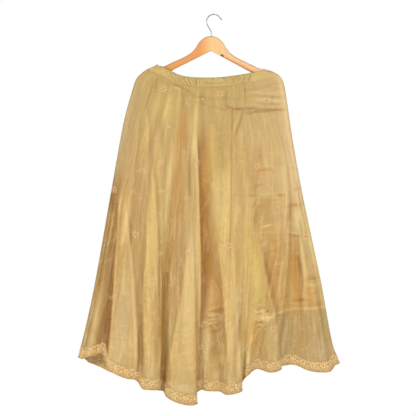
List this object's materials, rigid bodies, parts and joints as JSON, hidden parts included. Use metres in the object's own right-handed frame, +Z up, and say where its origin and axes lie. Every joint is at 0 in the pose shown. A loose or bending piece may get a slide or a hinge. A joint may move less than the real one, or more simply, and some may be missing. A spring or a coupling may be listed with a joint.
{
  "type": "lehenga skirt on a hanger",
  "caption": "Flared gold tissue lehenga skirt with a gathered waistband, lining and floral lace hem, hanging on a wooden hanger with a wire hook.",
  "frame": {"origin": "where the hanger's hook rests on a rail: the underside of the wire at the top of its bend", "axes": "+Z up along the hang, +X to the right of someone who looks at the front, +Y through the skirt from its front to its back"},
  "size_m": [0.7997, 0.1704, 1.1827],
  "materials": {
    "gold_tissue": "fine shiny organza tissue, partly see-through",
    "lining_satin": "smooth plain lining with a soft sheen",
    "floral_lace": "dense embroidered floral lace with small sequins",
    "pale_wood": "clear satin varnish",
    "steel_wire": "polished wire"
  },
  "bodies": {
    "root": {"gore_front_left": "gold_tissue", "gore_front_mid_left": "gold_tissue", "gore_front_mid_right": "gold_tissue", "gore_front_right": "gold_tissue", "gore_back_left": "gold_tissue", "gore_back_mid_left": "gold_tissue", "gore_back_mid_right": "gold_tissue", "gore_back_right": "gold_tissue", "waistband_front_left": "gold_tissue", "waistband_front_right": "gold_tissue", "waistband_back_left": "gold_tissue", "waistband_back_right": "gold_tissue", "hem_lace_front": "floral_lace", "hem_lace_back": "floral_lace", "lining_front": "lining_satin", "lining_back": "lining_satin", "hanger": "pale_wood", "hook": "steel_wire"}
  },
  "joints": []
}
